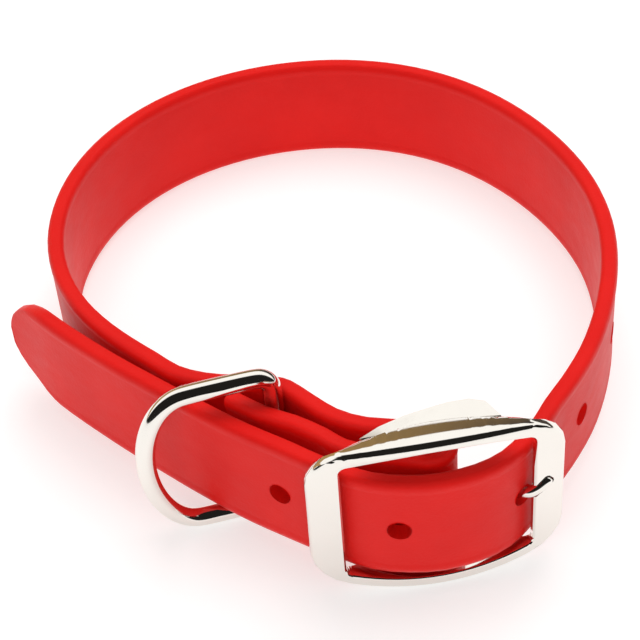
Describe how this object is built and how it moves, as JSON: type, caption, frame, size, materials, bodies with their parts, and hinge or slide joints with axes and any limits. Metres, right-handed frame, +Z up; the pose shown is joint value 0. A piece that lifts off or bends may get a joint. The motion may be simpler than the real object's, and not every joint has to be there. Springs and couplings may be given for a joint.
{
  "type": "dog collar",
  "caption": "Buckled dog collar of smooth red coated webbing lying on a table, with a plated bowed frame buckle, wire tongue, punched free end and a D-ring in its fold.",
  "frame": {"origin": "on the table, below the middle of the collar's outline", "axes": "+Z up from the table, the buckle faces -Y, and seen from the front the free end points to -X"},
  "size_m": [0.131, 0.1434, 0.0408],
  "materials": {
    "coated_webbing": "smooth satin vinyl coating",
    "nickel_plate": "bright nickel plate"
  },
  "bodies": {
    "collar": {"strap": "coated_webbing", "buckle_frame": "nickel_plate", "buckle_tongue": "nickel_plate", "fold_rivet_1": "nickel_plate", "fold_rivet_2": "nickel_plate"},
    "ring": {"d_ring": "nickel_plate"}
  },
  "joints": [
    {"name": "d_ring_swing", "type": "hinge", "parent": "collar", "child": "ring", "pos_m": [-0.00921, -0.04485, 0.01867], "axis": [-0.0091, 0.0829, 0.9965], "range_deg": [0, 84]}
  ]
}
